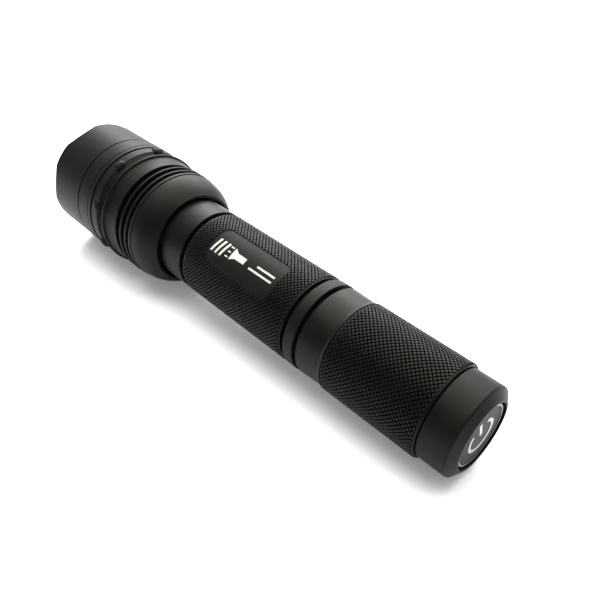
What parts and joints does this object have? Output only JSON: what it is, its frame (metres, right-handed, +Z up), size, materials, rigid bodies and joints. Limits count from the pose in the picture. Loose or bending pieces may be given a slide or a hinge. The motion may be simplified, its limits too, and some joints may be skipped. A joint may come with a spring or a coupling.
{
  "type": "tactical flashlight",
  "caption": "Black anodised hand torch with knurled battery tubes, finned head, turning selector ring, scalloped bezel and a screw-off tail cap with push button.",
  "frame": {"origin": "centre of the tail end, on the light's axis, in the plane of the tail cap's rim", "axes": "+X along the axis in the direction of the beam, +Z up with the light lying on its side"},
  "size_m": [0.1546, 0.0368, 0.0368],
  "materials": {
    "anodised_tube": "black hard-anodised, satin, diamond knurled",
    "anodised_head": "black hard-anodised, satin",
    "black_rubber": "black rubber",
    "button_metal": "dark grey satin metal",
    "clear_glass": "clear polished glass",
    "bright_reflector": "vacuum-metallised mirror, light orange peel",
    "brass_fittings": "turned brass",
    "spring_steel": "bright steel",
    "circuit_board": "green solder mask",
    "white_plastic": "white plastic",
    "emitter_phosphor": "yellow phosphor under a clear dome",
    "cell_wrap": "shrink-wrapped cell",
    "switch_plastic": "black moulded plastic",
    "plated_magnet": "nickel-plated"
  },
  "bodies": {
    "barrel": {"bezel_ring": "anodised_head", "front_lens": "clear_glass", "lens_o_ring": "black_rubber", "reflector": "bright_reflector", "led_gasket": "white_plastic", "led_emitter": "emitter_phosphor", "led_board": "circuit_board", "board_screws": "spring_steel", "front_ring": "anodised_head", "head_body": "anodised_head", "detent_ball": "spring_steel", "detent_spring": "spring_steel", "driver_board": "circuit_board", "driver_retaining_ring": "brass_fittings", "driver_spring": "spring_steel", "head_o_ring": "black_rubber", "front_tube": "anodised_tube", "grip_o_ring": "black_rubber", "front_washer": "black_rubber", "middle_ring": "anodised_head", "rear_washer": "black_rubber", "rear_tube": "anodised_tube", "cell_front": "cell_wrap", "cell_rear": "cell_wrap"},
    "selector": {"selector_ring": "anodised_head", "selector_studs": "black_rubber", "selector_magnet": "plated_magnet"},
    "tail_seal": {"tail_o_ring": "black_rubber"},
    "tail_cap": {"tail_cap": "anodised_head", "switch_housing": "switch_plastic", "switch_retaining_ring": "brass_fittings", "tail_spring": "spring_steel"},
    "tail_button": {"button_cap": "button_metal", "button_seal": "black_rubber", "switch_plunger": "brass_fittings"}
  },
  "joints": [
    {"name": "selector_turn", "type": "hinge", "parent": "barrel", "child": "selector", "pos_m": [0.1283, 0, 0], "axis": [1, 0, 0], "range_deg": [0, 90]},
    {"name": "tail_cap_draw", "type": "slide", "parent": "barrel", "child": "tail_seal", "axis": [-1, 0, 0], "range_m": [0, 0.006]},
    {"name": "tail_cap_turn", "type": "hinge", "parent": "tail_seal", "child": "tail_cap", "pos_m": [0, 0, 0], "axis": [-1, 0, 0], "range_deg": [0, 2160]},
    {"name": "button_press", "type": "slide", "parent": "tail_cap", "child": "tail_button", "axis": [1, 0, 0], "range_m": [0, 0.0012], "stiffness_N_per_m": 400}
  ],
  "couplings": [
    {"joint": "tail_cap_turn", "follows": "tail_cap_draw", "rad_per_m": 6283.2}
  ]
}
